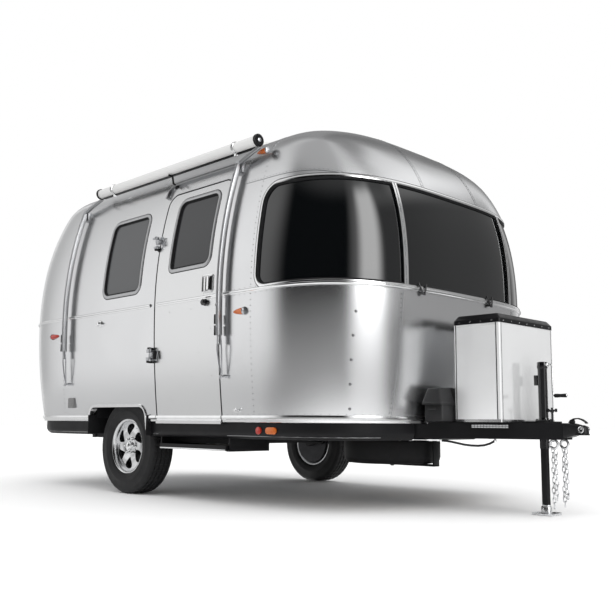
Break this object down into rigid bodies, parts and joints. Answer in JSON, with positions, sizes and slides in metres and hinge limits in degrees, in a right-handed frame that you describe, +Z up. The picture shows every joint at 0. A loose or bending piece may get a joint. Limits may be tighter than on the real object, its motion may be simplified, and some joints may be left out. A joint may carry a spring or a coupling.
{
  "type": "single-axle travel caravan",
  "caption": "Travel caravan with a riveted aluminium shell, entry door, wrap-round front windows, wheels, hitch frame with jack, and a rolled awning.",
  "frame": {"origin": "middle of the bounding box, at floor level under the tyres and the jack foot", "axes": "+X forward to the hitch, +Y to the road side (the left), +Z up"},
  "size_m": [5.047, 2.5226, 2.8749],
  "materials": {
    "black_steel": "satin black paint",
    "dark_steel": "black paint over steel",
    "zinc_steel": "zinc plated",
    "white_aluminium": "smooth pale paint",
    "black_lid": "semi-gloss black",
    "battery_plastic": "textured black",
    "hose_and_brass": "black rubber hose with brass fittings",
    "alloy": "machined and clear-coated",
    "tyre": "black rubber",
    "plywood": "sealed plywood",
    "underside": "dull sheet",
    "black_skirt": "satin black",
    "polished_aluminium": "semi-polished, riveted",
    "dark_glass": "dark tint",
    "bright_trim": "bright anodised",
    "awning_metal": "satin anodised",
    "awning_cover": "pale metal cover",
    "amber_lens": "moulded lens",
    "red_lens": "moulded lens",
    "white_plastic": "moulded"
  },
  "bodies": {
    "root": {"main_frame": "black_steel", "hitch_frame": "black_steel", "coupler": "black_steel", "coupler_latch": "dark_steel", "jack_tube": "black_steel", "jack_crank": "zinc_steel", "safety_chains": "zinc_steel", "gas_cover": "white_aluminium", "battery_box": "battery_plastic", "gas_line": "hose_and_brass", "axle": "black_steel", "spare_wheel": "tyre", "floor_deck": "plywood", "belly_pan": "underside", "belly_skirt": "black_skirt", "wheel_houses": "black_skirt", "side_wall_right": "polished_aluminium", "side_wall_left": "polished_aluminium", "roof_panel": "polished_aluminium", "front_dome": "polished_aluminium", "rear_dome": "polished_aluminium", "front_windows": "dark_glass", "side_windows": "dark_glass", "rear_window": "dark_glass", "door_hinges": "zinc_steel", "trim_rails": "bright_trim", "awning_roller": "awning_cover", "awning_arms": "awning_metal", "rear_bumper": "black_steel", "marker_lights": "amber_lens", "tail_lights": "red_lens", "roof_vent_base": "white_plastic", "roof_cooler": "white_plastic"},
    "wheel_right": {"wheel_right_rim": "alloy", "wheel_right_tyre": "tyre"},
    "wheel_left": {"wheel_left_rim": "alloy", "wheel_left_tyre": "tyre"},
    "door": {"entry_door": "polished_aluminium", "door_window": "dark_glass", "door_trim": "bright_trim"},
    "gas_lid": {"gas_cover_lid": "black_lid"},
    "jack_leg": {"jack_leg": "dark_steel"},
    "stabiliser_right": {"stabiliser_right": "black_steel"},
    "stabiliser_left": {"stabiliser_left": "black_steel"},
    "step": {"entry_step": "black_steel"},
    "hatch": {"hatch_door": "polished_aluminium"},
    "vent_lid": {"roof_vent_lid": "white_plastic"}
  },
  "joints": [
    {"name": "wheel_right_spin", "type": "hinge", "parent": "root", "child": "wheel_right", "pos_m": [-0.693, 0, 0.359], "axis": [0, 1, 0], "continuous": true},
    {"name": "wheel_left_spin", "type": "hinge", "parent": "root", "child": "wheel_left", "pos_m": [-0.693, 0, 0.359], "axis": [0, 1, 0], "continuous": true},
    {"name": "door_swing", "type": "hinge", "parent": "root", "child": "door", "pos_m": [-0.23, -1.2503, 1.028], "axis": [0, -0.0342, -0.9994], "range_deg": [0, 160]},
    {"name": "gas_lid_swing", "type": "hinge", "parent": "root", "child": "gas_lid", "pos_m": [1.781, 0, 1.1703], "axis": [0, -1, 0], "range_deg": [0, 85]},
    {"name": "jack_wind", "type": "slide", "parent": "root", "child": "jack_leg", "axis": [0, 0, 1], "range_m": [0, 0.24]},
    {"name": "stabiliser_right_drop", "type": "hinge", "parent": "root", "child": "stabiliser_right", "pos_m": [-1.80382, -0.71, 0.421], "axis": [0, 1, 0], "range_deg": [0, 85]},
    {"name": "stabiliser_left_drop", "type": "hinge", "parent": "root", "child": "stabiliser_left", "pos_m": [-1.80382, 0.71, 0.421], "axis": [0, 1, 0], "range_deg": [0, 85]},
    {"name": "step_pull", "type": "slide", "parent": "root", "child": "step", "axis": [0, -1, 0], "range_m": [0, 0.24]},
    {"name": "hatch_swing", "type": "hinge", "parent": "root", "child": "hatch", "pos_m": [0.46, 1.22135, 0.983], "axis": [1, 0, 0], "range_deg": [0, 100]},
    {"name": "vent_lid_swing", "type": "hinge", "parent": "root", "child": "vent_lid", "pos_m": [-1.452, 0, 2.67589], "axis": [0, -1, 0], "range_deg": [0, 60]}
  ]
}
